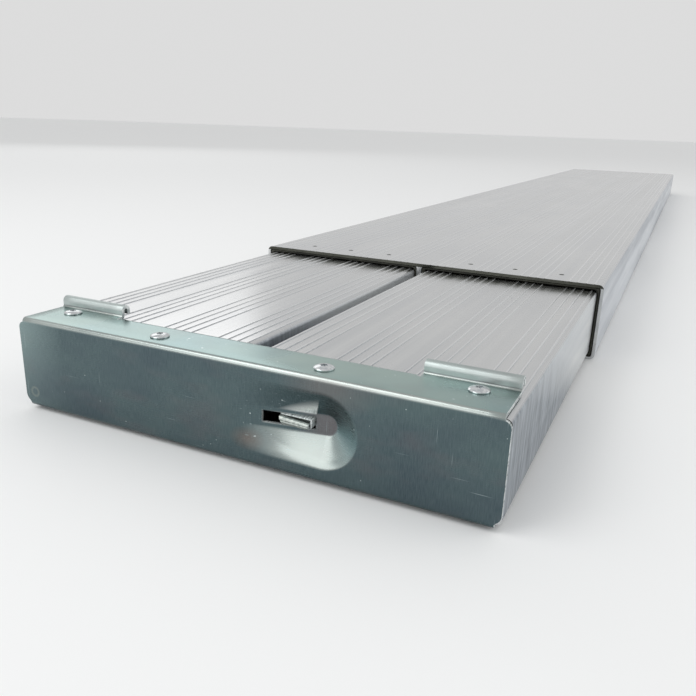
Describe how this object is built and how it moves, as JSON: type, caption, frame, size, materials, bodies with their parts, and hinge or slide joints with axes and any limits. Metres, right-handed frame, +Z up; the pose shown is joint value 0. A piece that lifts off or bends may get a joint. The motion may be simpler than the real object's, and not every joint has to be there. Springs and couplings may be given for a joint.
{
  "type": "telescopic scaffold plank",
  "caption": "Telescopic scaffold plank: hollow ribbed aluminium inner profiles on a folded steel end cap slide in a wider ribbed outer profile and lock shut with a spring latch.",
  "frame": {"origin": "middle of the underside, on the floor plane, half way along the plank as it is drawn out at rest", "axes": "+Y runs along the plank from the end cap to the far plate, +Z is up through the deck, +X is to the right seen facing the end cap"},
  "size_m": [0.3, 2.142, 0.0635],
  "materials": {
    "aluminium_deck": "extruded 6000-series aluminium, mill finish, fine die lines",
    "liner_plastic": "injection-moulded black nylon",
    "plated_steel": "pressed steel sheet, blue zinc plated and passivated",
    "rivet_aluminium": "blind aluminium rivets, flush",
    "zinc_fastener": "bright zinc plated steel",
    "latch_steel": "zinc plated steel strip with sheared edges",
    "spring_steel": "drawn spring wire"
  },
  "bodies": {
    "outer_section": {"outer_profile": "aluminium_deck", "mouth_liner_left": "liner_plastic", "mouth_liner_right": "liner_plastic", "far_end_plate": "plated_steel", "far_end_rivets": "rivet_aluminium", "stop_rivets": "rivet_aluminium"},
    "inner_section": {"inner_profile_left": "aluminium_deck", "inner_profile_right": "aluminium_deck", "end_cap": "plated_steel", "cap_screws_top": "zinc_fastener", "rivet_nuts": "zinc_fastener", "cap_screws_bottom": "zinc_fastener", "cap_tongues_left": "plated_steel", "cap_tongues_right": "plated_steel", "rear_glide_left": "liner_plastic", "rear_glide_right": "liner_plastic", "rear_glide_screws": "zinc_fastener", "latch_carrier": "latch_steel", "latch_pivot_pin": "zinc_fastener", "pivot_washer": "zinc_fastener", "latch_spring": "spring_steel"},
    "latch": {"latch_lever": "latch_steel"}
  },
  "joints": [
    {"name": "extension_slide", "type": "slide", "parent": "outer_section", "child": "inner_section", "axis": [0, -1, 0], "range_m": [-0.2435, 0.958]},
    {"name": "latch_pivot", "type": "hinge", "parent": "inner_section", "child": "latch", "pos_m": [0.024, -1.029, 0.0295], "axis": [0, 0, 1], "range_deg": [-12, 0], "stiffness_Nm_per_rad": 0.35, "springref_deg": 5.73, "deforming": ["latch_spring"]}
  ]
}
